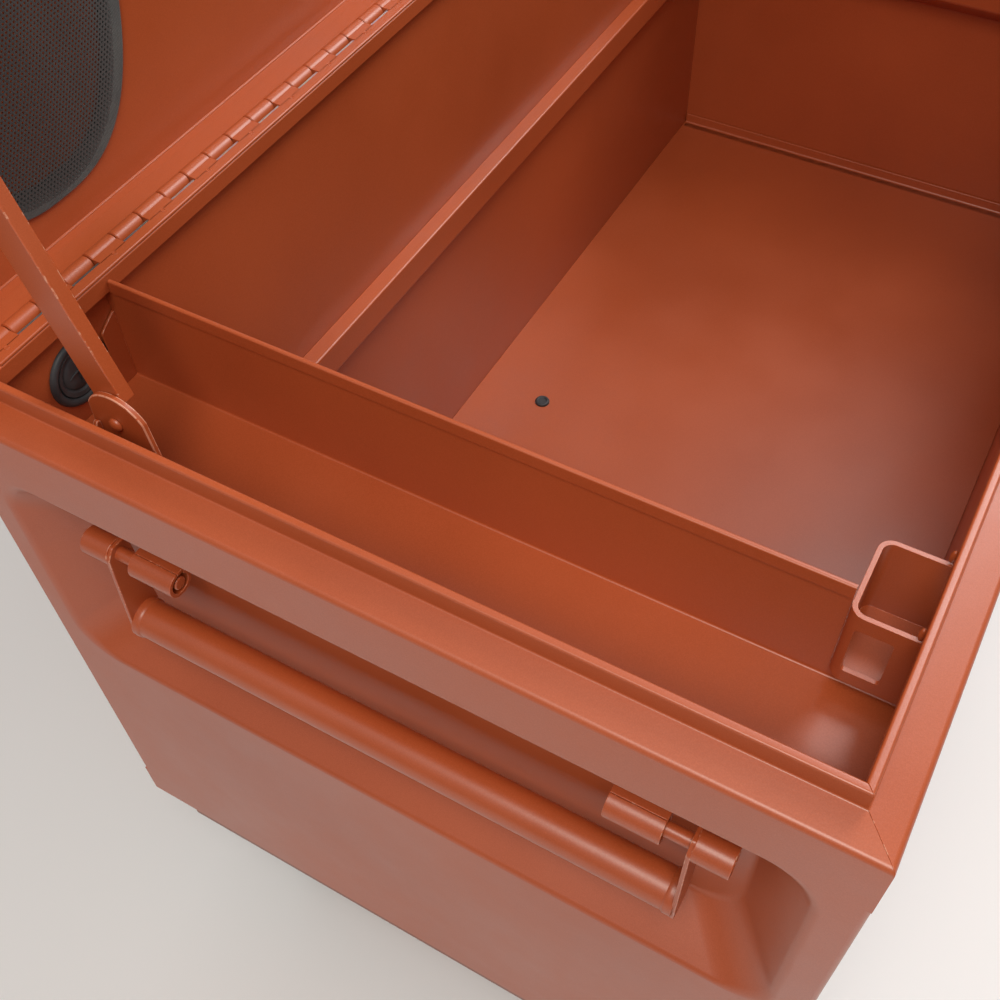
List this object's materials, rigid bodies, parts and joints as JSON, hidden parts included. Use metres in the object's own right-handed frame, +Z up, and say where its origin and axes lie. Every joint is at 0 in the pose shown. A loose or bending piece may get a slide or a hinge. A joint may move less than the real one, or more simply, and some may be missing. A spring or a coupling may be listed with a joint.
{
  "type": "rolling tool chest",
  "caption": "Wheeled steel tool chest with a piano-hinged lid on folding stays, an end tray, recessed drop handles, padlock boxes and casters.",
  "frame": {"origin": "on the ground, under the middle of the whole outline with the lid open", "axes": "+X along the chest towards the end without the tray, +Y towards the hinge, +Z up"},
  "size_m": [1.219, 0.6792, 1.3555],
  "materials": {
    "coat": "satin burnt-orange powder coat with a fine orange-peel texture",
    "coat_dark": "the same powder coat, darker and duller, on the skids and pedals",
    "zinc": "bright zinc plate",
    "tyre": "matt black rubber tread",
    "rubber": "moulded black rubber",
    "mesh_cloth": "open black polyester mesh with a woven binding"
  },
  "bodies": {
    "chest": {"front_panel": "coat", "rear_panel": "coat", "end_panel_left": "coat", "end_panel_right": "coat", "floor_pan": "coat", "rear_rail": "coat", "tool_tray": "coat", "padlock_box_left": "coat", "padlock_box_right": "coat", "stay_bracket_left": "coat", "stay_bracket_right": "coat", "cable_grommet": "rubber", "floor_plug": "rubber", "hinge_leaf_box": "coat", "hinge_pin": "zinc", "stay_foot_rivet_left": "coat", "stay_foot_rivet_right": "coat", "handle_sleeve_front_left": "coat", "handle_sleeve_front_right": "coat", "handle_sleeve_rear_left": "coat", "handle_sleeve_rear_right": "coat", "skid_left": "coat_dark", "skid_right": "coat_dark", "swivel_plate_front": "zinc", "swivel_plate_rear": "zinc", "fixed_fork_front": "zinc", "fixed_fork_rear": "zinc", "fixed_axle_front": "zinc", "fixed_axle_rear": "zinc"},
    "lid": {"lid_shell": "coat", "hinge_leaf_lid": "coat", "lid_stiffener": "coat", "lid_hasp_left": "coat", "lid_hasp_right": "coat", "stay_tab_left": "coat", "stay_tab_right": "coat", "mesh_pocket": "mesh_cloth"},
    "stay_bar_left": {"stay_bar_left": "coat"},
    "stay_link_left": {"stay_link_left": "coat", "stay_elbow_rivet_left": "coat"},
    "handle_left": {"handle_tube_left": "coat", "handle_arm_front_left": "coat", "handle_arm_rear_left": "coat"},
    "stay_bar_right": {"stay_bar_right": "coat"},
    "stay_link_right": {"stay_link_right": "coat", "stay_elbow_rivet_right": "coat"},
    "handle_right": {"handle_tube_right": "coat", "handle_arm_front_right": "coat", "handle_arm_rear_right": "coat"},
    "swivel_front": {"swivel_fork_front": "zinc", "swivel_axle_front": "zinc"},
    "swivel_wheel_front": {"swivel_wheel_front": "tyre"},
    "brake_pedal_front": {"brake_pedal_front": "coat_dark"},
    "fixed_wheel_front": {"fixed_wheel_front": "tyre"},
    "swivel_rear": {"swivel_fork_rear": "zinc", "swivel_axle_rear": "zinc"},
    "swivel_wheel_rear": {"swivel_wheel_rear": "tyre"},
    "brake_pedal_rear": {"brake_pedal_rear": "coat_dark"},
    "fixed_wheel_rear": {"fixed_wheel_rear": "tyre"}
  },
  "joints": [
    {"name": "lid_hinge", "type": "hinge", "parent": "chest", "child": "lid", "pos_m": [0, 0.2636, 0.7525], "axis": [1, 0, 0], "range_deg": [0, 93]},
    {"name": "stay_foot_left", "type": "hinge", "parent": "chest", "child": "stay_bar_left", "pos_m": [0, 0.1636, 0.736], "axis": [1, 0, 0], "range_deg": [0, 101.3]},
    {"name": "stay_head_left", "type": "hinge", "parent": "lid", "child": "stay_link_left", "pos_m": [0, 0.3006, 1.22922], "axis": [1, 0, 0], "range_deg": [-171.9, 0]},
    {"name": "stay_foot_right", "type": "hinge", "parent": "chest", "child": "stay_bar_right", "pos_m": [0, 0.1636, 0.736], "axis": [1, 0, 0], "range_deg": [0, 101.3]},
    {"name": "stay_head_right", "type": "hinge", "parent": "lid", "child": "stay_link_right", "pos_m": [0, 0.3006, 1.22922], "axis": [1, 0, 0], "range_deg": [-171.9, 0]},
    {"name": "handle_swing_left", "type": "hinge", "parent": "chest", "child": "handle_left", "pos_m": [-0.5932, -0.0346, 0.629], "axis": [0, 1, 0], "range_deg": [0, 90]},
    {"name": "handle_swing_right", "type": "hinge", "parent": "chest", "child": "handle_right", "pos_m": [0.5932, -0.0346, 0.629], "axis": [0, -1, 0], "range_deg": [0, 90]},
    {"name": "caster_swivel_front", "type": "hinge", "parent": "chest", "child": "swivel_front", "pos_m": [-0.545, -0.2246, 0.137], "axis": [0, 0, 1], "continuous": true},
    {"name": "swivel_wheel_spin_front", "type": "hinge", "parent": "swivel_front", "child": "swivel_wheel_front", "pos_m": [-0.509, -0.2246, 0.0635], "axis": [0, 1, 0], "continuous": true},
    {"name": "brake_press_front", "type": "hinge", "parent": "swivel_front", "child": "brake_pedal_front", "pos_m": [-0.503, -0.2246, 0.1321], "axis": [0, 1, 0], "range_deg": [0, 8]},
    {"name": "fixed_wheel_spin_front", "type": "hinge", "parent": "chest", "child": "fixed_wheel_front", "pos_m": [0.545, -0.2246, 0.0635], "axis": [0, 1, 0], "continuous": true},
    {"name": "caster_swivel_rear", "type": "hinge", "parent": "chest", "child": "swivel_rear", "pos_m": [-0.545, 0.1554, 0.137], "axis": [0, 0, 1], "continuous": true},
    {"name": "swivel_wheel_spin_rear", "type": "hinge", "parent": "swivel_rear", "child": "swivel_wheel_rear", "pos_m": [-0.509, 0.1554, 0.0635], "axis": [0, 1, 0], "continuous": true},
    {"name": "brake_press_rear", "type": "hinge", "parent": "swivel_rear", "child": "brake_pedal_rear", "pos_m": [-0.503, 0.1554, 0.1321], "axis": [0, 1, 0], "range_deg": [0, 8]},
    {"name": "fixed_wheel_spin_rear", "type": "hinge", "parent": "chest", "child": "fixed_wheel_rear", "pos_m": [0.545, 0.1554, 0.0635], "axis": [0, 1, 0], "continuous": true}
  ],
  "couplings": [
    {"joint": "stay_foot_left", "follows": "lid_hinge", "ratio": 1.0883},
    {"joint": "stay_head_left", "follows": "lid_hinge", "ratio": -1.8472},
    {"joint": "stay_foot_right", "follows": "lid_hinge", "ratio": 1.0883},
    {"joint": "stay_head_right", "follows": "lid_hinge", "ratio": -1.8472}
  ]
}
